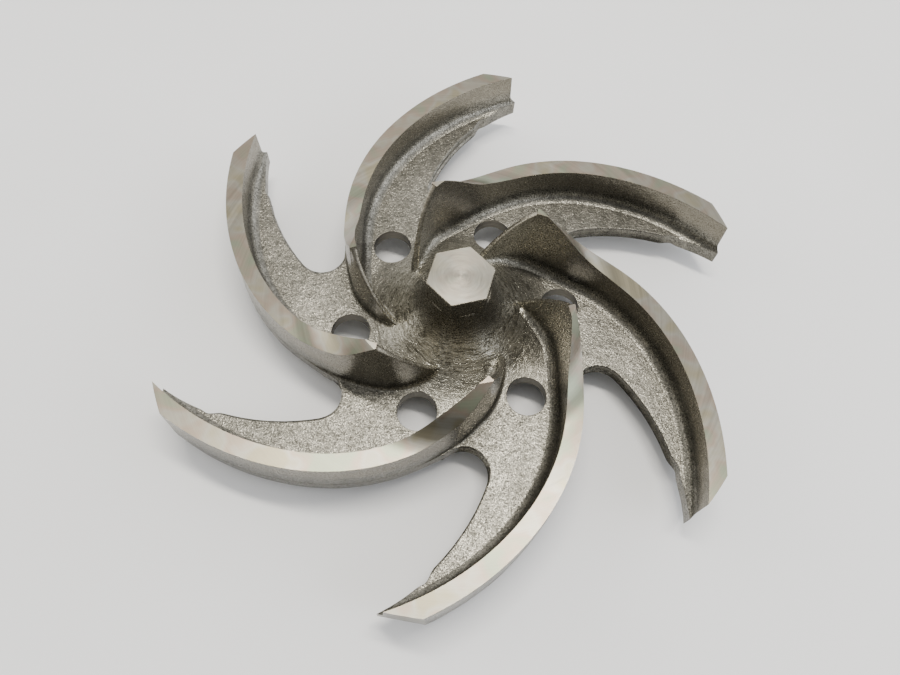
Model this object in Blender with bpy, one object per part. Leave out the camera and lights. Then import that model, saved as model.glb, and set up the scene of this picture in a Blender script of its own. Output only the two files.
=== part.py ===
"""Open pump impeller: one stainless casting with six backward-curved vanes on a scalloped back shroud.

The casting stands on the face of its back boss, with the shaft axis on Z and the suction side up.
Every height is measured from the underside of the shroud and lifted by the boss at the end.
"""

import math

import bmesh
import bpy

MM = 0.001

# What the whole wheel is cut to
VANES = 6
PITCH = math.tau / VANES
TIP_RADIUS = 127.0
FIRST_TIP_ANGLE = 85.6

# Back shroud: a flat plate between the vanes, scalloped back from the rim
SHROUD_THICKNESS = 6.3
SCALLOP_ROOT_RADIUS = 11.7
SCALLOP_ROOT_CENTRE = (69.3, 96.7)
SCALLOP_EDGE_RADIUS = 90.0
SCALLOP_EDGE_CENTRE = (83.4, 35.9)
SCALLOP_TIP_REACH = 124.6
SCALLOP_VANE_REACH = 62.0

# Vane plan: blade angle from the circumference, and thickness, each at a few radii
BLADE_ANGLES = ((25.0, 54.0), (42.0, 42.0), (46.4, 32.0), (63.5, 41.3), (95.0, 34.5), (127.0, 29.8))
THICKNESS = ((25.0, 2.4), (38.0, 2.0), (46.4, 2.9), (54.6, 6.4), (63.5, 6.9), (127.0, 7.1))
DRAFT = math.radians(1.5)
FRONT_FILLET = 5.0
BACK_FILLET = 2.0

# Vane tops are turned: a flat over the shroud, a sweep up to the eye, a small flat on the inlet tips
FACE_HEIGHT = 23.8
EYE_HEIGHT = 44.3
EYE_RADIUS = 46.4
SWEEP_START = 71.1
SWEEP_RADIUS = 21.2
SWEEP_ANGLE = math.radians(57.0)
INLET_TIP_RADIUS = 44.8
INLET_SLOPE = 1.82

# Hub: a bell that flows into the shroud, with a cast wrench nut on its nose
BELL_RADIUS = 33.3
BELL_CENTRE = (45.7, 39.55)
NECK_RADIUS = 12.9
NUT_ACROSS_FLATS = 25.0
NUT_BASE = 33.0
NUT_CHAMFER = 0.8

# Back: boss, blind threaded bore with its seal counterbore, balance holes and pump-out ribs
BOSS_RADIUS = 30.0
BOSS_HEIGHT = 9.0
BORE_RADIUS = 11.0
BORE_DEPTH = 33.0
COUNTERBORE_RADIUS = 15.0
COUNTERBORE_DEPTH = 5.0
BALANCE_RADIUS = 8.5
BALANCE_CIRCLE = 46.7
BALANCE_ANGLE = 133.7
RIB_WIDTH = 4.0
RIB_HEIGHT = 3.5
RIB_INNER = 48.0
RIB_OUTER = 123.0

ROUND_STEPS = 72
VANE_STATIONS = (
    127.0, 124.5, 120.0, 113.0, 106.0, 99.0, 92.0, 85.0, 78.0, 71.1, 66.0, 61.0,
    57.0, 53.4, 50.0, 46.4, 44.8, 41.0, 37.0, 33.0, 29.0, 25.0,
)


def clear_scene():
    for old in list(bpy.data.objects):
        bpy.data.objects.remove(old, do_unlink=True)


def between(pairs, at):
    """The value at one radius, on straight lines between (radius, value) pairs."""
    if at <= pairs[0][0]:
        return pairs[0][1]
    for (low, first), (high, second) in zip(pairs, pairs[1:]):
        if at <= high:
            return first + (second - first) * (at - low) / (high - low)
    return pairs[-1][1]


def blade_angle(radius):
    return math.radians(between(BLADE_ANGLES, radius))


def centre_angle(radius, steps=60):
    """Polar angle of the first vane's middle line: the blade angle summed inward from the tip."""
    angle = math.radians(FIRST_TIP_ANGLE)
    step = (TIP_RADIUS - radius) / steps
    for i in range(steps):
        middle = TIP_RADIUS - (i + 0.5) * step
        angle += step / (middle * math.tan(blade_angle(middle)))
    return angle


def around(radius, width):
    """The angle that a width square to the vane takes up at this radius."""
    return width / (radius * math.sin(blade_angle(radius)))


def top_height(radius):
    """Height of the turned vane tops, and of the inlet edge inside them."""
    if radius < INLET_TIP_RADIUS:
        return EYE_HEIGHT - INLET_SLOPE * (INLET_TIP_RADIUS - radius)
    if radius <= EYE_RADIUS:
        return EYE_HEIGHT
    arc_end = SWEEP_START - SWEEP_RADIUS * math.sin(SWEEP_ANGLE)
    if radius < arc_end:
        arc_top = FACE_HEIGHT + SWEEP_RADIUS * (1 - math.cos(SWEEP_ANGLE))
        return arc_top + (EYE_HEIGHT - arc_top) * (arc_end - radius) / (arc_end - EYE_RADIUS)
    if radius < SWEEP_START:
        return FACE_HEIGHT + SWEEP_RADIUS - math.sqrt(SWEEP_RADIUS**2 - (SWEEP_START - radius) ** 2)
    return FACE_HEIGHT


def floor_height(radius):
    """Height of the casting between the vanes: the bell of the hub, then the flat shroud."""
    reach = BELL_CENTRE[0] - radius
    if reach <= 0:
        return SHROUD_THICKNESS
    return max(SHROUD_THICKNESS, BELL_CENTRE[1] - math.sqrt(BELL_RADIUS**2 - reach**2))


def polar(radius, angle, height):
    return (radius * math.cos(angle) * MM, radius * math.sin(angle) * MM, (height + BOSS_HEIGHT) * MM)


def mesh_object(name, points, faces):
    mesh = bpy.data.meshes.new(name)
    mesh.from_pydata(points, [], faces)
    shape = bmesh.new()
    shape.from_mesh(mesh)
    bmesh.ops.recalc_face_normals(shape, faces=shape.faces)
    shape.to_mesh(mesh)
    shape.free()
    made = bpy.data.objects.new(name, mesh)
    bpy.context.scene.collection.objects.link(made)
    return made


def swept_rings(name, rings, copies=1):
    """Closed bodies through rings of (radius, angle, height), repeated round the axis."""
    points, faces = [], []
    size = len(rings[0])
    for copy in range(copies):
        start = len(points)
        points += [polar(r, a - copy * PITCH, z) for ring in rings for r, a, z in ring]
        for i in range(len(rings) - 1):
            for j in range(size):
                k = (j + 1) % size
                low, high = start + i * size, start + (i + 1) * size
                faces.append((low + j, low + k, high + k, high + j))
        faces.append(tuple(range(start, start + size)))
        faces.append(tuple(range(len(points) - size, len(points))))
    return mesh_object(name, points, faces)


def vane_section(radius):
    """One slice of the first vane at a constant radius: foot, fillet, wall, top, and back down."""
    middle = centre_angle(radius)
    top, floor = top_height(radius), floor_height(radius)
    # The fillet in front of the vane fades out with the shroud at the tip, and behind it at the scallop
    front = between(((117.0, FRONT_FILLET), (TIP_RADIUS, 0.0)), radius)
    back = between(((48.0, BACK_FILLET), (66.0, 0.0)), radius)
    # Where the inlet edge runs down into the bell, the fillets get lower but stay as wide
    room = max(0.4, (top - floor) * 0.5)
    half = between(THICKNESS, radius) / 2
    side = []
    for foot in (-front, back):
        reach = abs(foot)
        rise = min(reach, room)
        low = half + max(0.0, top - floor - rise) * math.tan(DRAFT)
        middle_fillet = low + 0.29 * reach
        edge = low + reach
        sign = math.copysign(1, foot)
        side.append((
            (radius, middle + sign * around(radius, edge), 0.0),
            (radius, middle + sign * around(radius, edge), floor - 0.2),
            (radius, middle + sign * around(radius, middle_fillet), min(floor + 0.1 + 0.29 * rise, top - 0.4)),
            (radius, middle + sign * around(radius, low), min(floor + 0.3 + rise, top - 0.2)),
            (radius, middle + sign * around(radius, half), top),
        ))
    return side[0] + tuple(reversed(side[1]))


def make_vanes():
    return swept_rings("vanes", [vane_section(radius) for radius in VANE_STATIONS], VANES)


def make_ribs():
    """Pump-out ribs on the back, one under each vane."""
    rings = []
    steps = 12
    for i in range(steps + 1):
        radius = RIB_OUTER + (RIB_INNER - RIB_OUTER) * i / steps
        middle, half = centre_angle(radius), around(radius, RIB_WIDTH / 2)
        rings.append((
            (radius, middle - half, -RIB_HEIGHT),
            (radius, middle - half, SHROUD_THICKNESS / 2),
            (radius, middle + half, SHROUD_THICKNESS / 2),
            (radius, middle + half, -RIB_HEIGHT),
        ))
    return swept_rings("ribs", rings, VANES)


def arc_points(centre, radius, start, end, steps):
    """Points of an arc whose centre is given as (radius, degrees) from the shaft axis."""
    x = centre[0] * math.cos(math.radians(centre[1]))
    y = centre[0] * math.sin(math.radians(centre[1]))
    angles = [start + (end - start) * i / steps for i in range(steps + 1)]
    return [(x + radius * math.cos(a), y + radius * math.sin(a)) for a in angles]


def scallop_outline():
    """Edge of the shroud from the first vane's tip to the next vane's back, as (x, y)."""
    edge_x = SCALLOP_EDGE_CENTRE[0] * math.cos(math.radians(SCALLOP_EDGE_CENTRE[1]))
    edge_y = SCALLOP_EDGE_CENTRE[0] * math.sin(math.radians(SCALLOP_EDGE_CENTRE[1]))
    root_x = SCALLOP_ROOT_CENTRE[0] * math.cos(math.radians(SCALLOP_ROOT_CENTRE[1]))
    root_y = SCALLOP_ROOT_CENTRE[0] * math.sin(math.radians(SCALLOP_ROOT_CENTRE[1]))
    # The long arc starts where it crosses the tip's reach, and ends where the root arc takes over
    tangent = math.atan2(root_y - edge_y, root_x - edge_x)
    start = tangent
    while True:
        x = edge_x + SCALLOP_EDGE_RADIUS * math.cos(start)
        y = edge_y + SCALLOP_EDGE_RADIUS * math.sin(start)
        if math.hypot(x, y) >= SCALLOP_TIP_REACH:
            break
        start -= math.radians(0.5)
    edge = arc_points(SCALLOP_EDGE_CENTRE, SCALLOP_EDGE_RADIUS, start, tangent, 12)
    root = arc_points(SCALLOP_ROOT_CENTRE, SCALLOP_ROOT_RADIUS, tangent, math.radians(322.0), 12)
    return edge + root[1:]


def make_shroud():
    sector = []
    steps = 14
    for i in range(steps + 1):
        radius = SCALLOP_VANE_REACH + (SCALLOP_TIP_REACH - SCALLOP_VANE_REACH) * i / steps
        angle = centre_angle(radius)
        sector.append((radius * math.cos(angle), radius * math.sin(angle)))
    sector += scallop_outline()
    outline = []
    for copy in range(VANES):
        turn = -copy * PITCH
        for x, y in sector:
            radius, angle = math.hypot(x, y), math.atan2(y, x) + turn
            outline.append((radius, angle))
    points = [polar(r, a, z) for z in (0.0, SHROUD_THICKNESS) for r, a in outline]
    count = len(outline)
    faces = [tuple(range(count)), tuple(range(2 * count - 1, count - 1, -1))]
    for i in range(count):
        j = (i + 1) % count
        faces.append((j, i, count + i, count + j))
    return mesh_object("impeller_casting", points, faces)


def turned(name, profile, steps=ROUND_STEPS):
    """A body turned from (radius, height) points that run from the axis round to the axis."""
    points, faces = [], []
    inner = profile[1:-1]
    size = len(inner)
    for i in range(steps):
        angle = math.tau * i / steps
        points += [polar(r, angle, z) for r, z in inner]
    low, high = len(points), len(points) + 1
    points.append(polar(0, 0, profile[0][1]))
    points.append(polar(0, 0, profile[-1][1]))
    for i in range(steps):
        k = (i + 1) % steps
        for j in range(size - 1):
            faces.append((i * size + j, k * size + j, k * size + j + 1, i * size + j + 1))
        faces.append((low, k * size, i * size))
        faces.append((high, i * size + size - 1, k * size + size - 1))
    return mesh_object(name, points, faces)


def make_hub():
    """Back boss, bell and neck as one turned body."""
    profile = [(0, -BOSS_HEIGHT), (BOSS_RADIUS - 1, -BOSS_HEIGHT), (BOSS_RADIUS, -BOSS_HEIGHT + 1)]
    profile += [(BOSS_RADIUS, 1.0), (BELL_CENTRE[0] - 6, 1.0)]
    start = math.radians(2.0)
    end = math.asin((BELL_CENTRE[0] - NECK_RADIUS) / BELL_RADIUS)
    steps = 9
    for i in range(steps + 1):
        lean = start + (end - start) * i / steps
        profile.append((
            BELL_CENTRE[0] - BELL_RADIUS * math.sin(lean),
            BELL_CENTRE[1] - BELL_RADIUS * math.cos(lean),
        ))
    profile[4] = (profile[5][0], 1.0)
    profile += [(0, profile[-1][1])]
    return turned("hub", profile)


def make_nut():
    """Hexagonal nose, with its top corners turned off."""
    corner = NUT_ACROSS_FLATS / 2 / math.cos(math.pi / 6)
    turn = math.radians(138.9)
    rings = []
    for size, height in ((corner, NUT_BASE), (corner, EYE_HEIGHT - NUT_CHAMFER), (corner - NUT_CHAMFER, EYE_HEIGHT)):
        rings.append(tuple((size, turn + i * PITCH, height) for i in range(6)))
    return swept_rings("nut", rings)


def make_bore():
    under = -BOSS_HEIGHT - 1.0
    seat = -BOSS_HEIGHT + COUNTERBORE_DEPTH
    end = -BOSS_HEIGHT + BORE_DEPTH
    profile = [(0, under), (COUNTERBORE_RADIUS, under), (COUNTERBORE_RADIUS, seat), (BORE_RADIUS, seat)]
    profile += [(BORE_RADIUS, end), (0, end + 3.0)]
    return turned("bore", profile, 48)


def make_balance_holes():
    rings = []
    centre = math.radians(BALANCE_ANGLE)
    for height in (-2.0, SHROUD_THICKNESS + 14.0):
        ring = []
        for i in range(28):
            x = BALANCE_CIRCLE * math.cos(centre) + BALANCE_RADIUS * math.cos(math.tau * i / 28)
            y = BALANCE_CIRCLE * math.sin(centre) + BALANCE_RADIUS * math.sin(math.tau * i / 28)
            ring.append((math.hypot(x, y), math.atan2(y, x), height))
        rings.append(tuple(ring))
    return swept_rings("balance_holes", rings, VANES)


def join(body, tool, operation):
    """Boolean with a helper that is not drawn itself."""
    tool.hide_render = True
    tool.display_type = "WIRE"
    step = body.modifiers.new(tool.name, "BOOLEAN")
    step.operation = operation
    step.solver = "EXACT"
    step.object = tool


def stainless():
    finish = bpy.data.materials.new("cast_stainless")
    finish.use_nodes = True
    shader = finish.node_tree.nodes["Principled BSDF"]
    shader.inputs["Base Color"].default_value = (0.36, 0.34, 0.30, 1.0)
    shader.inputs["Metallic"].default_value = 1.0
    shader.inputs["Roughness"].default_value = 0.42
    return finish


clear_scene()
casting = make_shroud()
for adder in (make_hub(), make_nut(), make_vanes(), make_ribs()):
    join(casting, adder, "UNION")
for cutter in (make_bore(), make_balance_holes()):
    join(casting, cutter, "DIFFERENCE")
casting.data.materials.append(stainless())
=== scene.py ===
# %% [markdown]
# # An open pump impeller, dressed for the photograph
# The real wheel is one stainless sand casting: six backward-curved vanes on a scalloped back
# shroud, with a hub whose nose is a cast hexagon for the wrench. The foundry leaves a fine grainy
# skin. The shop then turns the vane tops, the tips and the back boss, faces the hexagon, drills six
# balance holes and cuts the thread. So this file makes one closed casting from the same named
# sizes as the solid, with a finer mesh, and gives every kind of surface its own finish.

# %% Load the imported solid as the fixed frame
import math
from functools import partial

import bmesh
import bpy
import numpy as np
from mathutils import Matrix, Vector


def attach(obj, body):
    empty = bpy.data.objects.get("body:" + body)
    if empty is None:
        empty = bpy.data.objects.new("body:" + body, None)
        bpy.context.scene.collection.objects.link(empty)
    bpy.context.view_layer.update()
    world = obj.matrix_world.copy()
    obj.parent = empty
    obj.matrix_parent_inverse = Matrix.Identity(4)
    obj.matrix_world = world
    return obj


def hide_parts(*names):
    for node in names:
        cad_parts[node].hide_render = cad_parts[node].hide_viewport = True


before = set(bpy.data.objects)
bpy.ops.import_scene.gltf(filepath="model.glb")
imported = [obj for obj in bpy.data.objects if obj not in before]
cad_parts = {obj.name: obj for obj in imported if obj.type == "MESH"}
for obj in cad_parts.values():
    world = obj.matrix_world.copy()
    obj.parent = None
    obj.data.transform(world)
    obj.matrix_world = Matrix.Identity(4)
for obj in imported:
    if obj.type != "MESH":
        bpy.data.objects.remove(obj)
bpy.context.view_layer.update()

MM = 0.001

# %% [markdown]
# ## Sizes
# These are the sizes of the solid, in mm, with heights from the underside of the shroud. The
# finer mesh reads the same numbers, so it stays within a millimetre of the solid. Tables are pairs
# of (radius, value): a caliper reading at a few radii says more about a vane than a list of points.

# %% Sizes of the casting
VANES = 6
PITCH = math.tau / VANES
TIP_RADIUS = 127.0
FIRST_TIP_ANGLE = 85.6
SHROUD_THICKNESS = 6.3
SHROUD_LIP = 1.3
# a centre in plan is its radius from the shaft and its angle in degrees
SCALLOP_ROOT_RADIUS = 11.7
SCALLOP_ROOT_CENTRE = (69.3, 96.7)
SCALLOP_EDGE_RADIUS = 90.0
SCALLOP_EDGE_CENTRE = (83.4, 35.9)
SCALLOP_TIP_REACH = 124.6
SCALLOP_VANE_REACH = 62.0
BLADE_ANGLES = ((25.0, 54.0), (42.0, 42.0), (46.4, 32.0), (63.5, 41.3), (95.0, 34.5), (127.0, 29.8))
THICKNESS = ((25.0, 2.4), (38.0, 2.1), (43.0, 2.3), (46.4, 2.8), (54.6, 6.4), (63.5, 6.9), (127.0, 7.1))
DRAFT = math.radians(1.5)
FRONT_FILLET = 5.0
BACK_FILLET = ((48.0, 2.0), (66.0, 0.05))
FACE_HEIGHT = 23.8
EYE_HEIGHT = 44.3
EYE_RADIUS = 46.4
SWEEP_START = 71.1
SWEEP_RADIUS = 21.2
SWEEP_ANGLE = math.radians(57.0)
INLET_TIP_RADIUS = 44.9
INLET_SLOPE = 1.82
# the bell is an arc about a (radius, height), between two leans in degrees
BELL_RADIUS = 33.3
BELL_CENTRE = (45.7, 39.55)
BELL_ARC = (2.0, 80.0)
BELL_REACH = 32.9
NUT_ACROSS_FLATS = 25.0
NUT_BASE = 33.0
NUT_CORNER = 1.2
NUT_TURN = math.radians(138.9)
BOSS_RADIUS = 30.0
BOSS_HEIGHT = 9.0
BOSS_LIP = 0.8
BORE_RADIUS = 11.0
BORE_DEPTH = 33.0
THREAD_PITCH = 2.5
THREAD_DEPTH = 1.2
COUNTERBORE_RADIUS = 15.0
COUNTERBORE_DEPTH = 5.0
BALANCE_RADIUS = 8.5
BALANCE_CIRCLE = 46.7
BALANCE_ANGLE = math.radians(133.7)
RIB_WIDTH = 4.0
RIB_HEIGHT = 3.5
RIB_BEVEL = 0.6
RIB_INNER = 48.0
RIB_OUTER = 123.0
print("wheel of", 2 * TIP_RADIUS, "mm, height", round(EYE_HEIGHT + BOSS_HEIGHT, 1), "mm")

# %% [markdown]
# ## Finishes
# A metal has almost no colour of its own beyond its tint: what the eye reads is how rough it is,
# and at what size. Each finish below names how the surface was made. Every scale is written as a
# length in mm and turned into a texture scale, so the grain stays right if the camera moves.

# %% Helpers for node trees
def srgb(code):
    """Linear colour from an sRGB hex code."""
    parts = [int(code[i:i + 2], 16) / 255 for i in (1, 3, 5)]
    return tuple(c / 12.92 if c < 0.04045 else ((c + 0.055) / 1.055) ** 2.4 for c in parts) + (1.0,)


def node(tree, kind, inputs=None, out=0, stops=(), **settings):
    """Adds a node and returns the output asked for, or all of them for None.

    settings are its properties, inputs its sockets' values or the sockets that feed them, and
    stops the (position, hex code or grey) pairs of a colour ramp.
    """
    made = tree.nodes.new(kind)
    for name, value in settings.items():
        setattr(made, name, value)
    for key, value in (inputs or {}).items():
        if isinstance(value, bpy.types.NodeSocket):
            tree.links.new(value, made.inputs[key])
        else:
            made.inputs[key].default_value = value
    for i, (position, value) in enumerate(stops):
        element = made.color_ramp.elements[i] if i < 2 else made.color_ramp.elements.new(position)
        element.position = position
        element.color = srgb(value) if isinstance(value, str) else (value, value, value, 1.0)
    return made.outputs if out is None else made.outputs[out]


def per(size_mm):
    """Texture scale at which one feature is this many mm wide, for coordinates in metres."""
    return 1.0 / (size_mm * MM)


def start_material(name, metallic):
    """A material with its Principled shader, a way to add nodes to it, and the object's coordinates."""
    made = bpy.data.materials.new(name)
    made.use_nodes = True
    add = partial(node, made.node_tree)
    shader = made.node_tree.nodes["Principled BSDF"]
    shader.inputs["Metallic"].default_value = metallic
    return made, add, shader, add("ShaderNodeTexCoord", out="Object")


def feed(shader, sockets):
    """Links the sockets that a finish has worked out to the shader's inputs of those names."""
    for name, socket in sockets.items():
        shader.id_data.links.new(socket, shader.inputs[name])


def shaft_coordinates(add, place):
    """Radius from the shaft, angle round it and height, all from the object's coordinates."""
    x, y, height = add("ShaderNodeSeparateXYZ", {0: place}, out=None)
    flat = add("ShaderNodeCombineXYZ", {0: x, 1: y})
    radius = add("ShaderNodeVectorMath", {0: flat}, out="Value", operation="LENGTH")
    return radius, add("ShaderNodeMath", {0: y, 1: x}, operation="ARCTAN2"), height


# output and settings of a Mix node that mixes colours
COLOURS = {"out": 2, "data_type": "RGBA"}
print("helpers ready")

# %% [markdown]
# ### As cast: shot-blasted sand casting
# The mould's sand leaves grains of about 0.6 mm, and shot blasting peens them into tiny dishes, so
# the skin glitters instead of shining. Broad patches come from the pickle that strips the scale.
# The corners and recesses are painted with shade: the skin turns darker and browner where it is
# most enclosed. The shot strikes the floors straight and the walls at a slant, so the walls and
# inlet edges are smoother. Their colour is also mixed toward a paler brown, which is partly a
# browner tone and partly painted light that lifts their shade.

# %% Colour of the as-cast skin
PATCH_WIDTH = 25
SPOT_WIDTH = 3.5
GRAIN_WIDTH = 0.62
CORNER_REACH = 9


def cast_colour(add, patches, spots, grain, wall):
    """Patches with spots inside them, painted shade in the corners, and dark grains between bright peened
    ones; the walls are lifted with painted light.
    """
    mild = add("ShaderNodeMath", {0: patches, 1: 0.45}, operation="MULTIPLY")
    blend = add("ShaderNodeMath", {0: spots, 1: 0.55, 2: mild}, operation="MULTIPLY_ADD")
    tones = ((0.30, "#66645b"), (0.50, "#87847a"), (0.70, "#a8a498"))
    skin = add("ShaderNodeValToRGB", {0: blend}, stops=tones)
    # painted shade: the skin turns darker and browner the more enclosed a point is
    shelter = add("ShaderNodeAmbientOcclusion", {"Distance": CORNER_REACH * MM}, out="AO", samples=8)
    dirt = add("ShaderNodeValToRGB", {0: shelter}, stops=((0.30, 0.25), (0.85, 0.0)))
    colour = add("ShaderNodeMix", {0: dirt, 6: skin, 7: srgb("#463d2c")}, **COLOURS)
    darkness = ((0.34, 0.2), (0.46, 0.58), (0.56, 0.8), (0.66, 1.0))
    flecks = add("ShaderNodeValToRGB", {0: grain}, stops=darkness)
    colour = add("ShaderNodeMix", {0: 1.0, 6: colour, 7: flecks}, blend_type="MULTIPLY", **COLOURS)
    # painted light with a browner tone: the walls are mixed halfway toward a paler brown, which lifts their
    # shade
    share = add("ShaderNodeMath", {0: wall, 1: 0.5}, operation="MULTIPLY")
    return add("ShaderNodeMix", {0: share, 6: colour, 7: srgb("#8a8373")}, **COLOURS)


print("patches of", PATCH_WIDTH, "mm, spots of", SPOT_WIDTH, "mm and grains of", GRAIN_WIDTH, "mm")

# %% [markdown]
# Round the hub a hand grinder has left swirled scratches, which bare the metal in thin streaks. They
# are noise drawn out round the shaft, with the broad patches added to the angle and the radius so
# that no two run side by side. The neck and the hexagon's sides are mixed toward a dark brown.

# %% Grinding round the hub
HEXAGON_REACH = 14.6
GROUND_REACH = 44
SCRATCH_WIDTH = 0.6


def grinding(add, patches, radius, angle, height):
    """The scratches, and how much of them each place has: all on the bell, none on the hexagon."""
    swirl = add("ShaderNodeMath", {0: patches, 1: 4.0, 2: angle}, operation="MULTIPLY_ADD")
    drift = add("ShaderNodeMath", {0: patches, 1: 16 * MM, 2: radius}, operation="MULTIPLY_ADD")
    drawn_out = add("ShaderNodeCombineXYZ", {
        0: add("ShaderNodeMath", {0: drift, 1: per(SCRATCH_WIDTH)}, operation="MULTIPLY"),
        1: add("ShaderNodeMath", {0: swirl, 1: 5.0}, operation="MULTIPLY"),
        2: add("ShaderNodeMath", {0: height, 1: per(1.6)}, operation="MULTIPLY"),
    })
    scratch = add("ShaderNodeTexNoise", {"Vector": drawn_out, "Scale": 1.0, "Detail": 3.0, "Roughness": 0.6})
    near = add("ShaderNodeMapRange", {0: radius, 1: 24 * MM, 2: GROUND_REACH * MM, 3: 1.0, 4: 0.0})
    outside = add("ShaderNodeMapRange", {0: radius, 1: HEXAGON_REACH * MM, 2: 21 * MM, 3: 0.0, 4: 1.0})
    return scratch, add("ShaderNodeMath", {0: near, 1: outside}, operation="MULTIPLY")


def ground_colour(add, colour, scratch, ground, radius):
    """The skin's colour with the scratches bared in it and the neck mixed toward a dark brown."""
    streaks = ((0.36, "#4e4a3e"), (0.50, "#a39f90"), (0.62, "#cfcbbd"))
    bared = add("ShaderNodeValToRGB", {0: scratch}, stops=streaks)
    share = add("ShaderNodeMath", {0: ground, 1: 0.7}, operation="MULTIPLY")
    colour = add("ShaderNodeMix", {0: share, 6: colour, 7: bared}, **COLOURS)
    # the neck and the hexagon's sides are mixed toward a dark brown, strongest at the hexagon and gone by 19
    # mm
    brown = add("ShaderNodeMapRange", {0: radius, 1: HEXAGON_REACH * MM, 2: 19 * MM, 3: 0.45, 4: 0.0})
    return add("ShaderNodeMix", {0: brown, 6: colour, 7: srgb("#5a5240")}, **COLOURS)


print("ground from", HEXAGON_REACH, "to", GROUND_REACH, "mm from the shaft")

# %% [markdown]
# The height of a point tells floors from fillets and walls, since the shroud's floor lies at 15.3
# mm. The pickled skin keeps a thin oxide film that scatters a little light like chalk, so it is
# not quite all metal. The bumps are spots, grains and scratches, each laid over the one before.

# %% As-cast skin
def cast_skin():
    made, add, shader, place = start_material("as_cast_stainless", 0.85)
    radius, angle, height = shaft_coordinates(add, place)
    noises = []
    for width, detail, rough in ((PATCH_WIDTH, 3.0, 0.6), (SPOT_WIDTH, 4.0, 0.65), (GRAIN_WIDTH, 2.0, 0.6)):
        values = {"Vector": place, "Scale": per(width), "Detail": detail, "Roughness": rough}
        noises.append(add("ShaderNodeTexNoise", values))
    patches, spots, grain = noises
    tall = add("ShaderNodeMapRange", {0: height, 1: 20 * MM, 2: 25 * MM, 3: 0.0, 4: 1.0})
    past_hub = add("ShaderNodeMapRange", {0: radius, 1: 27 * MM, 2: 31 * MM, 3: 0.0, 4: 1.0})
    wall = add("ShaderNodeMath", {0: tall, 1: past_hub}, operation="MULTIPLY")
    scratch, ground = grinding(add, patches, radius, angle, height)
    colour = cast_colour(add, patches, spots, grain, wall)
    colour = ground_colour(add, colour, scratch, ground, radius)
    # the grains scatter on the floors, and what stands above them is rubbed smoother
    dull = add("ShaderNodeMapRange", {0: grain, 1: 0.35, 2: 0.65, 3: 0.42, 4: 0.22})
    rubbed = add("ShaderNodeMapRange", {0: height, 1: 15.8 * MM, 2: 17.5 * MM, 3: 1.0, 4: 0.8})
    rough = add("ShaderNodeMath", {0: dull, 1: rubbed}, operation="MULTIPLY")
    soft = add("ShaderNodeBevel", {"Radius": 0.5 * MM}, samples=4)
    wave = add("ShaderNodeBump", {"Height": spots, "Strength": 0.6, "Distance": 0.35 * MM, "Normal": soft})
    sharp = add("ShaderNodeMapRange", {0: wall, 1: 0.0, 2: 1.0, 3: 1.0, 4: 0.4})
    fine = add("ShaderNodeBump", {"Height": grain, "Strength": sharp, "Distance": 0.15 * MM, "Normal": wave})
    depth = add("ShaderNodeMath", {0: ground, 1: 0.8}, operation="MULTIPLY")
    cut = {"Height": scratch, "Strength": depth, "Distance": 0.35 * MM, "Normal": fine}
    feed(shader, {"Base Color": colour, "Roughness": rough, "Normal": add("ShaderNodeBump", cut)})
    return made


SKIN = cast_skin()
print("made", SKIN.name)

# %% [markdown]
# ### Turned: vane tops, tips and back boss
# A lathe tool leaves fine rings round the shaft, so the surface is smooth along the ring and
# rough across it. The shine is then drawn out along the radius, which gives the satin streak that
# swings round the wheel. A fine feed also splits the light into thin straw and rose tints. Rings
# this fine can't show, so they are drawn about 0.7 mm apart.

# %% Turned faces
def turned_face(name, light, dark, ring_mm, tint, stretch):
    """Satin lathe finish. tint is the share of the straw and rose, stretch that of the drawn-out shine."""
    made, add, shader, place = start_material(name, 1.0)
    radius, angle, height = shaft_coordinates(add, place)
    # noise over radius and height, with slow chatter round the shaft
    along = add("ShaderNodeCombineXYZ", {
        0: add("ShaderNodeMath", {0: radius, 1: per(ring_mm)}, operation="MULTIPLY"),
        1: add("ShaderNodeMath", {0: angle, 1: 1.6}, operation="MULTIPLY"),
        2: add("ShaderNodeMath", {0: height, 1: per(ring_mm)}, operation="MULTIPLY"),
    })
    rings = add("ShaderNodeTexNoise", {"Vector": along, "Scale": 1.0, "Detail": 2.0, "Roughness": 0.6})
    broad = add("ShaderNodeTexNoise", {"Vector": place, "Scale": per(14), "Detail": 2.0})
    colour = add("ShaderNodeValToRGB", {0: rings}, stops=((0.25, dark), (0.75, light)))
    tints = ((0.36, "#f3ecd8"), (0.46, "#ffffff"), (0.55, "#f7e6e0"), (0.66, "#e2efe0"))
    hue = add("ShaderNodeValToRGB", {0: broad}, stops=tints)
    colour = add("ShaderNodeMix", {0: tint, 6: colour, 7: hue}, blend_type="MULTIPLY", **COLOURS)
    shader.inputs["Anisotropic"].default_value = stretch
    outward = add("ShaderNodeVectorMath", {0: place, 1: (1.0, 1.0, 0.0)}, operation="MULTIPLY")
    outward = add("ShaderNodeVectorMath", {0: outward}, operation="NORMALIZE")
    rough = add("ShaderNodeMapRange", {0: rings, 1: 0.3, 2: 0.7, 3: 0.28, 4: 0.34})
    bump = add("ShaderNodeBump", {"Height": rings, "Strength": 0.2, "Distance": 0.05 * MM})
    feed(shader, {"Base Color": colour, "Tangent": outward, "Roughness": rough, "Normal": bump})
    return made


TURNED = turned_face("turned_stainless", "#969388", "#8b887d", 0.7, 0.9, 0.6)
FACED = turned_face("faced_hexagon", "#a09d92", "#979489", 0.5, 0.4, 0.4)
print("made", TURNED.name, "and", FACED.name)
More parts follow.
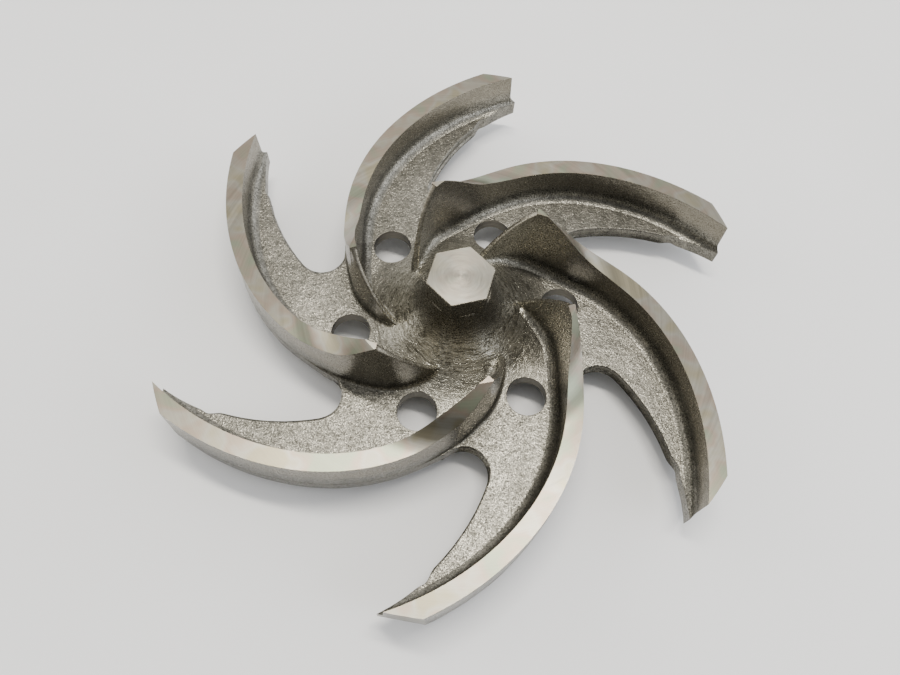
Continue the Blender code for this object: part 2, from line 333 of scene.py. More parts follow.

# %% [markdown]
# ### Drilled: balance holes and thread
# A drill leaves close rings down the wall, smeared by the chips on their way out. The noise is
# flat, 9 mm wide and 0.45 mm high, so it reads as rings. The grey is darker than the turned faces,
# partly the drilled metal's tone and partly painted shade for the dim inside of the holes.

# %% Drilled walls
def drilled_wall():
    made, add, shader, place = start_material("drilled_stainless", 1.0)
    x, y, height = add("ShaderNodeSeparateXYZ", {0: place}, out=None)
    stack = add("ShaderNodeCombineXYZ", {
        0: add("ShaderNodeMath", {0: x, 1: per(9)}, operation="MULTIPLY"),
        1: add("ShaderNodeMath", {0: y, 1: per(9)}, operation="MULTIPLY"),
        2: add("ShaderNodeMath", {0: height, 1: per(0.45)}, operation="MULTIPLY"),
    })
    rings = add("ShaderNodeTexNoise", {"Vector": stack, "Scale": 1.0, "Detail": 2.0})
    # dark grey, partly the drilled metal's tone and partly painted shade for the dim inside of the holes
    colour = add("ShaderNodeValToRGB", {0: rings}, stops=((0.3, "#55524b"), (0.7, "#7b7870")))
    rough = add("ShaderNodeMapRange", {0: rings, 1: 0.3, 2: 0.7, 3: 0.32, 4: 0.48})
    bump = add("ShaderNodeBump", {"Height": rings, "Strength": 0.4, "Distance": 0.08 * MM})
    feed(shader, {"Base Color": colour, "Roughness": rough, "Normal": bump})
    return made


DRILLED = drilled_wall()
print("made", DRILLED.name)

# %% [markdown]
# ## The vane
# Pattern makers draw a vane from its blade angle: the angle between the vane and the circle at
# each radius. Summing that angle inward from the tip gives the middle line. A few angles are
# then enough for the whole spiral, and the curve has no kink.

# %% Middle line of the first vane
def between(pairs, at, soften=3.0):
    """Value at a radius, from straight lines between the pairs with their corners rounded off."""
    radii, values = zip(*pairs)
    spread = np.linspace(-soften, soften, 7)
    return float(np.mean(np.interp(at + spread, radii, values)))


def blade_angle(radius):
    return math.radians(between(BLADE_ANGLES, radius, 0.01))


LINE_RADII = np.linspace(TIP_RADIUS, 20.0, 1071)
steps = -np.diff(LINE_RADII)
middles = (LINE_RADII[1:] + LINE_RADII[:-1]) / 2
turns = np.array([step / (r * math.tan(blade_angle(r))) for step, r in zip(steps, middles)])
LINE_ANGLES = math.radians(FIRST_TIP_ANGLE) + np.concatenate([[0.0], np.cumsum(turns)])


def centre_angle(radius):
    return float(np.interp(radius, LINE_RADII[::-1], LINE_ANGLES[::-1]))


print("the vane wraps", round(math.degrees(LINE_ANGLES[-1] - LINE_ANGLES[0])), "degrees")

# %% [markdown]
# Slices across the vane follow the circle at the tip, where a lathe has cut it, and stand square
# to the vane at the eye, where the pattern ends in a nose. The foot swings over slowly. The top
# follows the circle to the last 1.5 mm, which leaves the small bright triangle at each inlet
# tip. The turned top has one height for each radius. The nose falls in a straight line.

# %% Heights and plan points of a slice
def smooth(low, high, at):
    t = min(1.0, max(0.0, (at - low) / (high - low)))
    return t * t * (3 - 2 * t)


def turned_top(radius):
    """Height of the lathe's cut: flat over the shroud, an arc, a cone, and the flat of the eye."""
    if radius <= EYE_RADIUS:
        return EYE_HEIGHT
    arc_end = SWEEP_START - SWEEP_RADIUS * math.sin(SWEEP_ANGLE)
    if radius < arc_end:
        arc_top = FACE_HEIGHT + SWEEP_RADIUS * (1 - math.cos(SWEEP_ANGLE))
        return arc_top + (EYE_HEIGHT - arc_top) * (arc_end - radius) / (arc_end - EYE_RADIUS)
    if radius < SWEEP_START:
        return FACE_HEIGHT + SWEEP_RADIUS - math.sqrt(SWEEP_RADIUS**2 - (SWEEP_START - radius) ** 2)
    return FACE_HEIGHT


def floor_height(radius):
    """Height between the vanes: the bell of the hub, then the flat shroud."""
    reach = BELL_CENTRE[0] - radius
    if reach <= 0:
        return SHROUD_THICKNESS
    return max(SHROUD_THICKNESS, BELL_CENTRE[1] - math.sqrt(BELL_RADIUS**2 - min(reach, BELL_REACH) ** 2))


def squareness(radius, drop=1.0):
    """How far a slice has swung from the circle (0) to square across the vane (1).

    drop is 0 at the vane's top and 1 at its foot.
    """
    at_foot = 1.0 - smooth(52.0, 80.0, radius)
    at_top = min(1.0, max(0.0, (EYE_RADIUS - radius) / (EYE_RADIUS - INLET_TIP_RADIUS)))
    return at_top + (at_foot - at_top) * drop


def across(radius, offset, drop=1.0):
    """Plan point at an offset from the middle line, positive on the convex side."""
    phi, beta, square = centre_angle(radius), blade_angle(radius), squareness(radius, drop)
    arc = phi + offset / (radius * math.sin(beta))
    straight_x = radius * math.cos(phi) + offset * math.cos(phi + beta)
    straight_y = radius * math.sin(phi) + offset * math.sin(phi + beta)
    x = (1 - square) * radius * math.cos(arc) + square * straight_x
    y = (1 - square) * radius * math.sin(arc) + square * straight_y
    return x, y


print("top at the eye", turned_top(40), "and over the shroud", turned_top(100))

# %% [markdown]
# One slice runs from the foot on the concave side, up its root fillet and drafted wall, over the
# top and down the other side. The same number of points in every slice lets them be bridged
# into one clean sheet of quads. Near the tip the scallop cuts into the root fillet, so a slice
# stops at the scallop's edge there, which leaves the thin web that the wheel has at each tip.

# %% Edge of the scallop beside the vane
def circle_centre(place):
    """Plan point of a centre that is given by its radius from the shaft and its angle in degrees."""
    angle = math.radians(place[1])
    return np.array((place[0] * math.cos(angle), place[0] * math.sin(angle)))


def arc_points(place, radius, start, end, count):
    centre = circle_centre(place)
    turns = np.linspace(start, end, count + 1)
    return [tuple(centre + radius * np.array((math.cos(a), math.sin(a)))) for a in turns]


SCALLOP_JOIN = math.atan2(*(circle_centre(SCALLOP_ROOT_CENTRE) - circle_centre(SCALLOP_EDGE_CENTRE))[::-1])
LONG_ARC = (SCALLOP_EDGE_CENTRE, SCALLOP_EDGE_RADIUS)
long_edge = np.array(arc_points(*LONG_ARC, SCALLOP_JOIN, SCALLOP_JOIN - math.radians(75), 300))
# only the stretch that leads outward counts, so each radius has one angle
edge_radii = np.maximum.accumulate(np.hypot(*long_edge.T))
edge_turns = np.unwrap(np.arctan2(long_edge[:, 1], long_edge[:, 0]))
print("long arc of the scallop reaches from", edge_radii[0].round(1), "to", edge_radii[-1].round(1), "mm")


def edge_offset(radius):
    """Offset of the scallop's edge from the vane's middle line, on the concave side."""
    turn = float(np.interp(radius, edge_radii, edge_turns)) - centre_angle(radius)
    turn = (turn + math.pi) % math.tau - math.pi
    return turn * radius * math.sin(blade_angle(radius))


beside = [round(edge_offset(r), 1) for r in (108.0, 117.0, 124.0, 127.0)]
print("scallop edge beside the vane in mm:", beside)

# %% One slice of the vane
FILLET_STEPS = 7
WALL_STEPS = 5
TOP_STEPS = 8
NOSE_END = 25.6
NOSE_ROUND = 5.0
NOSE_SQUARENESS = 3.5
TOE_BLEND = 3.0
TOE_SINK = 0.6
TOE_DIVE = 1.6
FILLET_SINK = 0.12


def side_of(radius, sign, wall_top, half, reach, narrow):
    """Points from the top edge down one wall, round the fillet and into the body."""
    points = []
    floor_here = floor_height(math.hypot(*across(radius, sign * (half + reach) * narrow)))
    # where the nose runs down into the bell its fillets get lower, but stay as wide
    rise = min(reach, max(0.25, (wall_top - floor_here) * 0.55))
    spring = min(floor_here + rise, wall_top - 0.3)
    low = half + max(0.0, wall_top - spring) * math.tan(DRAFT)
    for i in range(1, WALL_STEPS + 1):
        share = i / WALL_STEPS
        offset = sign * (half + (low - half) * share) * narrow
        points.append((offset, wall_top + (spring - wall_top) * share, share))
    # near the tip the scallop cuts the fillet short, and a whole one sinks a little into the floor
    last = math.pi / 2
    if sign < 0 and radius > 100.0:
        last = math.acos(max(0.0, 1 - (-edge_offset(radius) - low) / reach))
    depth = FILLET_SINK if last > 1.55 else 0.0
    for i in range(1, FILLET_STEPS + 1):
        lean = last * i / FILLET_STEPS
        offset = (low + reach * (1 - math.cos(lean))) * narrow
        here = floor_height(math.hypot(*across(radius, sign * offset))) if radius < 60 else floor_here
        height = here + rise * (1 - math.sin(lean)) - depth * i / FILLET_STEPS
        points.append((sign * offset, min(spring - 0.02 * i, height), 1.0))
    return points


def vane_slice(radius):
    half = between(THICKNESS, radius, 2.0) / 2
    nose = radius < INLET_TIP_RADIUS
    narrow, steep = 1.0, 0.0
    if nose:
        peak = EYE_HEIGHT - INLET_SLOPE * (INLET_TIP_RADIUS - radius)
        rise = peak - floor_height(radius)
        # the nose runs out on the bell in a soft toe instead of stopping dead
        rise = (rise + math.hypot(rise, TOE_BLEND)) / 2
        peak = floor_height(radius) + rise - TOE_SINK
        # the foundry rounds the edges of the nose by less than a millimetre
        steep = min(0.55 * half * math.hypot(1.0, INLET_SLOPE), rise * 0.5)
        # in plan the toe ends in a half circle, which dives under the bell
        run = min(NOSE_ROUND, (radius - NOSE_END) / math.sin(blade_angle(radius)))
        narrow = math.sqrt(max(0.004, 1 - (1 - run / NOSE_ROUND) ** 2))
        peak -= TOE_DIVE * (1 - narrow) ** 2
    top = []
    for i in range(TOP_STEPS + 1):
        side = -math.cos(math.pi * i / TOP_STEPS) if nose else -1 + 2 * i / TOP_STEPS
        x, y = across(radius, side * half * narrow, 0.0)
        if nose:
            z = peak - steep * (1 - (1 - abs(side) ** NOSE_SQUARENESS) ** (1 / NOSE_SQUARENESS))
        else:
            z = turned_top(math.hypot(x, y))
        top.append((side * half * narrow, z, 0.0))
    concave = side_of(radius, -1, top[0][1], half, FRONT_FILLET, narrow)
    convex = side_of(radius, 1, top[-1][1], half, between(BACK_FILLET, radius), narrow)
    foot = 0.0 if radius > 57.0 else 1.5
    line = [(concave[-1][0], foot, 1.0)] + concave[::-1] + top + convex + [(convex[-1][0], foot, 1.0)]
    return [(*across(radius, offset, drop), z) for offset, z, drop in line]


def to_metres(x, y, z):
    return (x * MM, y * MM, (z + BOSS_HEIGHT) * MM)


def mesh_object(name, points, faces, materials, indices=None):
    """Object from points in mm, with its faces turned outward."""
    mesh = bpy.data.meshes.new(name)
    mesh.from_pydata([to_metres(*p) for p in points], [], faces)
    for material in materials:
        mesh.materials.append(material)
    if indices is not None:
        mesh.polygons.foreach_set("material_index", indices)
    shape = bmesh.new()
    shape.from_mesh(mesh)
    bmesh.ops.recalc_face_normals(shape, faces=shape.faces)
    shape.to_mesh(mesh)
    shape.free()
    made = bpy.data.objects.new(name, mesh)
    bpy.context.scene.collection.objects.link(made)
    return made


def loft(name, rings, materials, band=None, first_end=0):
    """Closed body through rings of the same length. band(ring, side) gives a face's material index."""
    size = len(rings[0])
    points = [p for ring in rings for p in ring]
    faces, indices = [], []
    for i in range(len(rings) - 1):
        for j in range(size):
            k = (j + 1) % size
            faces.append((i * size + j, i * size + k, (i + 1) * size + k, (i + 1) * size + j))
            indices.append(band(i, j) if band else 0)
    faces += [tuple(range(size)), tuple(range(len(points) - size, len(points)))]
    indices += [first_end, 0]
    return mesh_object(name, points, faces, materials, indices)


# the slices lie closer together where the vane changes faster
outer = [*np.arange(TIP_RADIUS, 64.0, -1.8), *np.arange(64.0, EYE_RADIUS + 0.4, -1.1)]
eye = [*np.linspace(EYE_RADIUS, INLET_TIP_RADIUS, 5)]
nose = [INLET_TIP_RADIUS - 0.05, *np.arange(INLET_TIP_RADIUS - 0.6, 29.0, -0.8)]
toe = [*np.arange(29.0, NOSE_END, -0.35), NOSE_END]
stations = outer + eye + nose + toe
side_points = 1 + FILLET_STEPS + WALL_STEPS
last_turned = len(outer) + len(eye) - 1


def vane_band(ring, side):
    on_top = side_points <= side < side_points + TOP_STEPS
    return 1 if on_top and ring < last_turned else 0


vane = loft("vane", [vane_slice(r) for r in stations], (SKIN, TURNED), vane_band, first_end=1)
print("one vane:", len(stations), "slices,", len(vane.data.polygons), "faces")

# %% [markdown]
# ## What repeats round the shaft
# The six vanes, the six ribs and the six drillings sit at equal angles, so one node tree turns
# any of them round the shaft. The same tree lets the as-cast walls wander by a few tenths of a
# millimetre, as sand moves, and leaves the turned tops where the lathe put them.

# %% Node tree that repeats a piece round the shaft
# full swing of a wall from side to side, and the length of its waves
WALL_WANDER = 0.9
WANDER_WAVE = 16.0
WANDER_SEED = 7.0


def ring_tree():
    tree = bpy.data.node_groups.new("round_the_shaft", "GeometryNodeTree")
    face = tree.interface
    face.new_socket("Piece", in_out="INPUT", socket_type="NodeSocketGeometry")
    for name, kind in (("Count", "Int"), ("Wander", "Float"), ("Seed", "Float"), ("Skin", "Material"),
                       ("Cut", "Material")):
        face.new_socket(name, in_out="INPUT", socket_type="NodeSocket" + kind)
    face.new_socket("Ring", in_out="OUTPUT", socket_type="NodeSocketGeometry")
    add = partial(node, tree)
    given = add("NodeGroupInput", out=None)
    share = add("ShaderNodeMath", {0: -math.tau, 1: given["Count"]}, operation="DIVIDE")
    turn = add("ShaderNodeMath", {0: add("GeometryNodeInputIndex"), 1: share}, operation="MULTIPLY")
    placed = add("GeometryNodeInstanceOnPoints", {
        "Points": add("GeometryNodePoints", {"Count": given["Count"]}),
        "Instance": given["Piece"],
        "Rotation": add("ShaderNodeCombineXYZ", {2: turn}),
    })
    real = add("GeometryNodeRealizeInstances", {0: placed})
    # level push along the wall: the upright part of the normal is dropped
    flat = {0: add("GeometryNodeInputNormal"), 1: (1.0, 1.0, 0.0)}
    level = add("ShaderNodeVectorMath", flat, operation="MULTIPLY")
    noise = add("ShaderNodeTexNoise", {
        "Vector": add("GeometryNodeInputPosition"),
        "W": given["Seed"],
        "Scale": per(WANDER_WAVE),
        "Detail": 2.0,
    }, noise_dimensions="4D")
    swing = add("ShaderNodeMath", {0: noise, 1: 0.5}, operation="SUBTRACT")
    swing = add("ShaderNodeMath", {0: swing, 1: given["Wander"]}, operation="MULTIPLY")
    free = add("GeometryNodeInputNamedAttribute", {"Name": "as_cast"}, data_type="FLOAT")
    swing = add("ShaderNodeMath", {0: swing, 1: free}, operation="MULTIPLY")
    push = add("ShaderNodeVectorMath", {0: level, "Scale": swing}, operation="SCALE")
    made = add("GeometryNodeSetPosition", {"Geometry": real, "Offset": push})
    made = add("GeometryNodeSetMaterial", {"Geometry": made, "Material": given["Skin"]})
    machined = add("GeometryNodeInputNamedAttribute", {"Name": "machined"}, data_type="BOOLEAN")
    cut = {"Geometry": made, "Selection": machined, "Material": given["Cut"]}
    add("NodeGroupOutput", {0: add("GeometryNodeSetMaterial", cut)}, out=None)
    return tree


RING = ring_tree()


def round_the_shaft(piece, skin, cut, wander=0.0):
    """Replaces a piece by six of it, as a plain mesh."""
    mesh = piece.data
    machined = np.zeros(len(mesh.polygons), int)
    mesh.polygons.foreach_get("material_index", machined)
    mesh.attributes.new("machined", "BOOLEAN", "FACE").data.foreach_set("value", machined.astype(bool))
    free = np.ones(len(mesh.vertices))
    for polygon in mesh.polygons:
        if machined[polygon.index]:
            free[list(polygon.vertices)] = 0.0
    mesh.attributes.new("as_cast", "FLOAT", "POINT").data.foreach_set("value", free)
    step = piece.modifiers.new("ring", "NODES")
    step.node_group = RING
    values = {"Count": VANES, "Wander": wander, "Seed": WANDER_SEED, "Skin": skin, "Cut": cut}
    for item in RING.interface.items_tree:
        if item.in_out == "INPUT" and item.name in values:
            step[item.identifier] = values[item.name]
    graph = bpy.context.evaluated_depsgraph_get()
    ring = bpy.data.meshes.new_from_object(piece.evaluated_get(graph), depsgraph=graph)
    piece.modifiers.clear()
    piece.data = ring
    return piece


vanes = round_the_shaft(vane, SKIN, TURNED, wander=WALL_WANDER * MM)
print("six vanes:", len(vanes.data.polygons), "faces,", [m.name for m in vanes.data.materials])

# %% [markdown]
# ## The shroud
# The plate between the vanes is scalloped to take weight and thrust off the wheel. Its edge is two
# arcs that meet smoothly: a long one along the vane in front, and a small one at the root. The
# mould rounds the edge a little on both sides.

# %% Scalloped shroud
LONG_STEPS = 36
ROOT_STEPS = 22
ROOT_END = math.radians(322.0)
WEB_START = 108.0
WEB_END = 113.0


def scallop():
    """The free edge, from the first vane's tip to the back of the next vane."""
    start = SCALLOP_JOIN
    while np.hypot(*arc_points(*LONG_ARC, start, start, 0)[0]) < SCALLOP_TIP_REACH:
        start -= math.radians(0.25)
    root = arc_points(SCALLOP_ROOT_CENTRE, SCALLOP_ROOT_RADIUS, SCALLOP_JOIN, ROOT_END, ROOT_STEPS)
    return arc_points(*LONG_ARC, start, SCALLOP_JOIN, LONG_STEPS) + root[1:]


def shroud():
    free = scallop()
    # beside the tip the vane carries its own web, and the plate stays 0.5 mm inside it
    for i, (x, y) in enumerate(free):
        reach = math.hypot(x, y)
        if i <= LONG_STEPS and reach > WEB_START:
            free[i] = across(reach, edge_offset(reach) + 0.5 * smooth(WEB_START, WEB_END, reach))
    hidden = [(r * math.cos(centre_angle(r)), r * math.sin(centre_angle(r)))
              for r in np.linspace(SCALLOP_VANE_REACH, SCALLOP_TIP_REACH, 16)]
    sector = np.array(hidden + free)
    # how much of the edge's rounding each point takes: none inside the vane or its web
    take = [0.0] * len(hidden) + [1 - smooth(WEB_START - 1.0, WEB_END, math.hypot(*p)) for p in free]
    outline = []
    for copy in range(VANES):
        c, s = math.cos(-copy * PITCH), math.sin(-copy * PITCH)
        outline.append(sector @ np.array(((c, s), (-s, c))))
    outline, share = np.concatenate(outline), np.tile(take, VANES)
    along = np.roll(outline, -1, 0) - np.roll(outline, 1, 0)
    along /= np.hypot(along[:, 0], along[:, 1])[:, None]
    inward = np.stack([along[:, 1], -along[:, 0]], 1)
    # most of the edge looks away from the shaft, which tells inward from outward
    inward *= np.sign(np.median(np.sign((inward * -outline).sum(1))))
    rounding = []
    for lean in (0, 30, 60, 90):
        inset = SHROUD_LIP * (1 - math.sin(math.radians(lean)))
        rounding.append((inset, SHROUD_LIP * (1 - math.cos(math.radians(lean)))))
    levels = []
    for inset, z in rounding + [(i, SHROUD_THICKNESS - z) for i, z in rounding[::-1]]:
        ring = outline + inward * inset * share[:, None]
        levels.append([(x, y, z) for x, y in ring])
    return loft("impeller", levels, (SKIN,))


casting = shroud()
print("shroud outline has", len(casting.data.vertices) // 8, "points")

# %% [markdown]
# ## Hub and boss
# The hub and the boss are round, so each is a profile swept round the shaft. The profile of the hub
# is one arc, the bell that turns the liquid outward, cut off under the hexagon.

# %% Sweep of a profile round the shaft
def swept(name, profile, count, material, swell=None):
    """Body swept from (radius, height) points, axis to axis. swell(angle, height) adds to the radius."""
    points, faces = [], []
    inner_points = profile[1:-1]
    size = len(inner_points)
    for i in range(count):
        a = math.tau * i / count
        for r, z in inner_points:
            wide = r + (swell(a, z) if swell else 0.0)
            points.append((wide * math.cos(a), wide * math.sin(a), z))
    points += [(0, 0, profile[0][1]), (0, 0, profile[-1][1])]
    low, high = len(points) - 2, len(points) - 1
    for i in range(count):
        k = (i + 1) % count
        for j in range(size - 1):
            faces.append((i * size + j, k * size + j, k * size + j + 1, i * size + j + 1))
        faces.append((low, k * size, i * size))
        faces.append((high, i * size + size - 1, k * size + size - 1))
    return mesh_object(name, points, faces, (material,))


print("sweep ready")

# %% Hub and boss
ROUND_STEPS = 144
BELL_STEPS = 22
# both reach into the shroud, so that they fuse with it
HUB_FOOT = 1.0
BOSS_TOP = 2.0


def hub():
    bell = []
    for lean in np.radians(np.linspace(*BELL_ARC, BELL_STEPS)):
        radius = BELL_CENTRE[0] - BELL_RADIUS * math.sin(lean)
        bell.append((radius, BELL_CENTRE[1] - BELL_RADIUS * math.cos(lean)))
    profile = [(0, HUB_FOOT), (bell[0][0], HUB_FOOT), *bell, (0, bell[-1][1])]
    return swept("hub", profile, ROUND_STEPS, SKIN)


def boss():
    under = -BOSS_HEIGHT
    profile = [(0, under), (BOSS_RADIUS - BOSS_LIP, under), (BOSS_RADIUS, under + BOSS_LIP)]
    return swept("boss", profile + [(BOSS_RADIUS, BOSS_TOP), (0, BOSS_TOP)], ROUND_STEPS, TURNED)


round_bodies = [hub(), boss()]
print("round bodies:", [(o.name, len(o.data.polygons)) for o in round_bodies])

# %% [markdown]
# ## Hexagon and ribs
# The hexagon takes the wrench that screws the wheel on its shaft. It has softened corners, because
# it is cast and then dressed, and facing leaves a broken edge round its top. The pump-out ribs on
# the back follow the vanes, so they use the same middle line.

# %% Hexagon
def hexagon():
    sixth = math.pi / 6
    corner = NUT_ACROSS_FLATS / 2 / math.cos(sixth)
    # each corner is a small arc, tangent to both flats
    centre = corner - NUT_CORNER / math.cos(sixth)
    outline = []
    for i in range(6):
        a = NUT_TURN + i * PITCH
        for lean in np.linspace(-sixth, sixth, 5):
            x = centre * math.cos(a) + NUT_CORNER * math.cos(a + lean)
            y = centre * math.sin(a) + NUT_CORNER * math.sin(a + lean)
            outline.append((x, y))
    rings = []
    for inset, drop in ((0.0, EYE_HEIGHT - NUT_BASE), (0.0, 0.35), (0.25, 0.08), (0.4, 0.0)):
        scale = 1 - inset / corner
        rings.append([(x * scale, y * scale, EYE_HEIGHT - drop) for x, y in outline])
    made = loft("hexagon", rings, (SKIN, FACED))
    made.data.polygons[-1].material_index = 1
    return made


nose_body = hexagon()
print("hexagon:", len(nose_body.data.polygons), "faces")

# %% Pump-out ribs
RIB_TOP = 3.0


def rib():
    half = [(-1.0, RIB_TOP), (-1.0, RIB_BEVEL - RIB_HEIGHT), (-0.7, -RIB_HEIGHT)]
    section = half + [(-side, z) for side, z in half[::-1]]
    rings = []
    for radius in np.linspace(RIB_OUTER, RIB_INNER, 26):
        wide = RIB_WIDTH / 2 / (radius * math.sin(blade_angle(radius)))
        ring = []
        for side, z in section:
            a = centre_angle(radius) + side * wide
            ring.append((radius * math.cos(a), radius * math.sin(a), z))
        rings.append(ring)
    return loft("rib", rings, (SKIN,))


ribs = round_the_shaft(rib(), SKIN, TURNED)
print("six ribs:", len(ribs.data.polygons), "faces")

# %% [markdown]
# ## Bore and balance holes
# What a drill or a tap takes away is made as a solid plug and cut out later. The thread is cut by a
# tap, so its plug has a radius that rises and falls along a helix. Each balance hole has a chamfer
# below, where the drill came out.

# %% Plugs for the bore and the holes
def thread_wave(angle, height):
    """Tap's thread: a wave along a helix, which stops short of both ends of the bore."""
    if not -BOSS_HEIGHT + COUNTERBORE_DEPTH < height < BORE_DEPTH - BOSS_HEIGHT - 2:
        return 0.0
    phase = (height / THREAD_PITCH - angle / math.tau) % 1.0
    return THREAD_DEPTH * (1 - abs(2 * phase - 1))


def bore():
    under, seat, end = -BOSS_HEIGHT - 1.0, -BOSS_HEIGHT + COUNTERBORE_DEPTH, BORE_DEPTH - BOSS_HEIGHT
    wide, chamfer, point = COUNTERBORE_RADIUS, 1.5, 3.0
    profile = [(0, under), (wide + chamfer, under), (wide, under + chamfer), (wide, seat)]
    # the rings up the bore are close enough for six of them to each turn of the thread
    profile += [(BORE_RADIUS, z) for z in (seat, *np.arange(seat + 0.3, end, 0.42))]
    return swept("bore", profile + [(BORE_RADIUS, end), (0, end + point)], 90, DRILLED, thread_wave)


def drilling():
    """Plug for one balance hole, wider below for the chamfer and high enough to pass the bell."""
    x, y = BALANCE_CIRCLE * math.cos(BALANCE_ANGLE), BALANCE_CIRCLE * math.sin(BALANCE_ANGLE)
    turns = np.linspace(0, math.tau, 56, endpoint=False)
    top = SHROUD_THICKNESS + 14.0
    rings = []
    for radius, z in ((BALANCE_RADIUS + 1.6, -1.0), (BALANCE_RADIUS, 0.6), (BALANCE_RADIUS, top)):
        rings.append([(x + radius * math.cos(a), y + radius * math.sin(a), z) for a in turns])
    return loft("drilling", rings, (DRILLED,))


cutters = [bore(), round_the_shaft(drilling(), DRILLED, DRILLED)]
print("plugs to cut with:", [o.name for o in cutters])

# %% [markdown]
# ## One casting
# Boolean steps fuse the bodies and cut the holes, so the render shows one closed skin, as the
# real metal is. The result is a plain mesh, and the helpers go.

# %% Fuse and cut
joined = [*round_bodies, nose_body, vanes, ribs]
for other, operation in [(o, "UNION") for o in joined] + [(o, "DIFFERENCE") for o in cutters]:
    step = casting.modifiers.new(other.name, "BOOLEAN")
    step.operation, step.solver, step.object, step.material_mode = operation, "EXACT", other, "TRANSFER"
graph = bpy.context.evaluated_depsgraph_get()
fused = bpy.data.meshes.new_from_object(casting.evaluated_get(graph), depsgraph=graph)
casting.modifiers.clear()
casting.data = fused
for other in joined + cutters:
    bpy.data.objects.remove(other, do_unlink=True)
for polygon in fused.polygons:
    polygon.use_smooth = True
# edges sharper than this stay crisp, and the facets of round pieces blend
fused.set_sharp_from_angle(angle=math.radians(34))
weigh = casting.modifiers.new("weighted normals", "WEIGHTED_NORMAL")
weigh.keep_sharp = True
graph = bpy.context.evaluated_depsgraph_get()
casting.data = bpy.data.meshes.new_from_object(casting.evaluated_get(graph), depsgraph=graph)
casting.modifiers.clear()
print("casting:", len(casting.data.polygons), "faces,", [m.name for m in casting.data.materials])

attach(casting, "root")
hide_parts("impeller_casting")

# %% [markdown]
# ## Table, light and camera
# The wheel lies on a pale table. The camera is the one that the photograph's six-fold pattern
# gives: it stands 15 cm in front of the wheel's middle and 31 cm up.

# %% Table
def table_top():
    """Matt white board: smooth, with no pattern but a faint cloud."""
    made, add, shader, place = start_material("pale_table", 0.0)
    cloud = add("ShaderNodeTexNoise", {"Vector": place, "Scale": per(160), "Detail": 3.0})
    colour = add("ShaderNodeValToRGB", {0: cloud}, stops=((0.3, "#ececeb"), (0.7, "#f1f1f1")))
    feed(shader, {"Base Color": colour})
    shader.inputs["Roughness"].default_value = 0.55
    return made


# half the table's side, in metres
TABLE_HALF = 3
mesh = bpy.data.meshes.new("table")
corners = [(x * TABLE_HALF, y * TABLE_HALF, 0) for x, y in ((-1, -1), (1, -1), (1, 1), (-1, 1))]
mesh.from_pydata(corners, [], [(0, 1, 2, 3)])
mesh.materials.append(table_top())
table = bpy.data.objects.new("table", mesh)
bpy.context.scene.collection.objects.link(table)
print("table laid at height 0")

# %% [markdown]
# The vane tops are flat mirrors, so the photograph says where its light comes from: a lamp stands
# where the top that faces the camera shines. That is one long ceiling lamp, north of the wheel and
# 11 degrees off the zenith. The walls that face right are paler, so a window stands there.

# %% Lamp and window
def soft_light(name, width, depth, watts, tint, place):
    """Area light that faces the wheel, with its sizes and place in metres."""
    data = bpy.data.lights.new(name, "AREA")
    data.shape, data.size, data.size_y = "RECTANGLE", width, depth
    data.energy, data.color = watts, srgb(tint)[:3]
    made = bpy.data.objects.new(name, data)
    made.location = place
    made.rotation_mode = "QUATERNION"
    made.rotation_quaternion = (-made.location).to_track_quat("-Z", "Y")
    bpy.context.scene.collection.objects.link(made)
    return made


window = soft_light("side window", 0.7, 0.7, 5.0, "#f6f9ff", (1.10, -0.45, 0.75))
lamp = soft_light("ceiling lamp", 1.25, 0.16, 34.0, "#fffaf0", (0.10, 0.38, 1.95))
for made in (window, lamp):
    lean = math.degrees(made.location.angle(Vector((0, 0, 1))))
    print(made.name, round(lean, 1), "degrees off the zenith")

# %% [markdown]
# Metal shows the room as much as the lamp. The tops that turn away from the lamp mirror a dim band
# of ceiling, those that face straight up a bright one, and the dark inlet walls the dim side of
# the room behind the camera. A few stops of brightness over height and direction are enough.

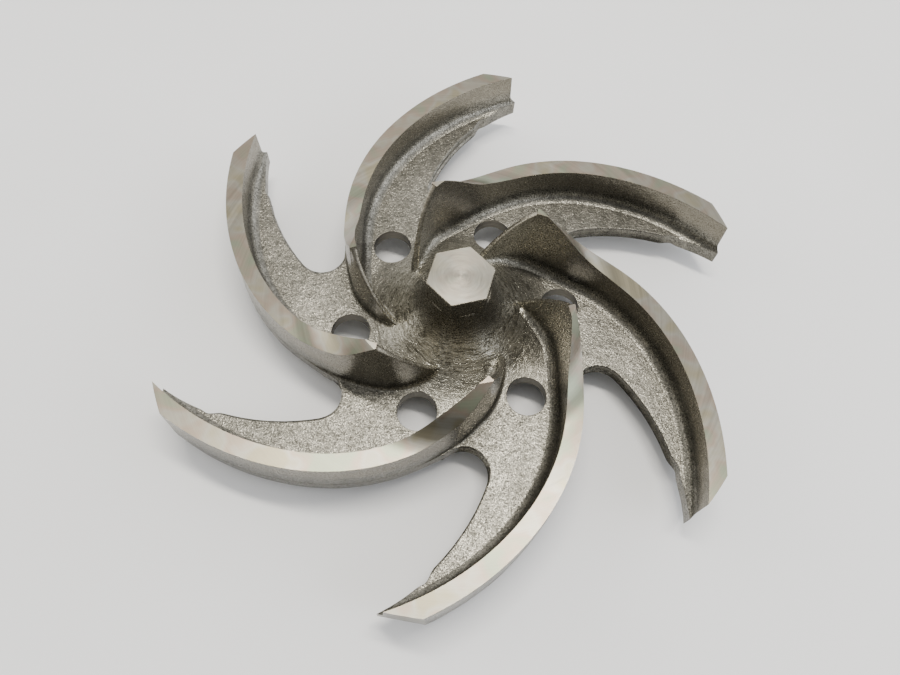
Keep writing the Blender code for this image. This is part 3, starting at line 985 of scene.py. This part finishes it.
# %% Room
def room_light(strength):
    """Bright overhead with a dim band round it, brighter at the sides and dim behind the camera."""
    world = bpy.data.worlds.new("room")
    bpy.context.scene.world = world
    world.use_nodes = True
    add = partial(node, world.node_tree)
    seen = add("ShaderNodeTexCoord", out="Generated")
    east, north, up = add("ShaderNodeSeparateXYZ", {0: seen}, out=None)
    bands = ((0.0, 0.55), (0.45, 0.5), (0.66, 0.13), (0.84, 0.15), (0.90, 0.27), (0.96, 0.42), (1.0, 0.5))
    ceiling = add("ShaderNodeValToRGB", {0: up}, stops=bands)
    from_south = add("ShaderNodeMath", {0: north, 1: 0.5, 2: 0.5}, operation="MULTIPLY_ADD")
    dimming = ((0.06, 0.10), (0.22, 0.34), (0.42, 0.55), (0.54, 1.0))
    behind = add("ShaderNodeValToRGB", {0: from_south}, stops=dimming)
    sides = add("ShaderNodeMath", {0: east, 1: east}, operation="MULTIPLY")
    sides = add("ShaderNodeMath", {0: sides, 1: 1.2, 2: 1.0}, operation="MULTIPLY_ADD")
    level = add("ShaderNodeMath", {0: behind, 1: sides}, operation="MULTIPLY")
    level = add("ShaderNodeMath", {0: level, 1: strength}, operation="MULTIPLY")
    # daylight white with a trace of blue on the right
    from_west = add("ShaderNodeMath", {0: east, 1: 0.5, 2: 0.5}, operation="MULTIPLY_ADD")
    tint = add("ShaderNodeValToRGB", {0: from_west}, stops=((0.2, "#fffdf9"), (0.8, "#f6f9ff")))
    colour = add("ShaderNodeMix", {0: 1.0, 6: ceiling, 7: tint}, blend_type="MULTIPLY", **COLOURS)
    feed(world.node_tree.nodes["Background"], {"Color": colour, "Strength": level})
    return world


print("room light:", room_light(3.8).name)

# %% [markdown]
# The same corner of all six vanes lies on a circle, so the photograph itself gives the camera that
# took it: its tilt from straight down, its roll, its place and its focal length in pixels.

# %% Camera
PHOTO_WIDTH = 900
FOCAL_LENGTH = 753.35
CAMERA_TILT = 0.4406
CAMERA_ROLL = 0.0894
CAMERA_PLACE = (-2.15, -149.8, 312.7)


def photo_camera():
    right = Vector((1, 0, 0))
    up = Vector((0, math.cos(CAMERA_TILT), math.sin(CAMERA_TILT)))
    ahead = Vector((0, math.sin(CAMERA_TILT), -math.cos(CAMERA_TILT)))
    side = math.cos(CAMERA_ROLL) * right + math.sin(CAMERA_ROLL) * up
    top = -math.sin(CAMERA_ROLL) * right + math.cos(CAMERA_ROLL) * up
    data = bpy.data.cameras.new("photo")
    data.sensor_width = 36.0
    data.lens = FOCAL_LENGTH / PHOTO_WIDTH * data.sensor_width
    data.clip_start = 0.01
    made = bpy.data.objects.new("photo", data)
    axes = Matrix((side, top, -ahead)).transposed().to_4x4()
    made.matrix_world = Matrix.Translation(Vector(CAMERA_PLACE) * MM) @ axes
    bpy.context.scene.collection.objects.link(made)
    bpy.context.scene.camera = made
    return made


print("camera at", [round(v, 3) for v in photo_camera().location])
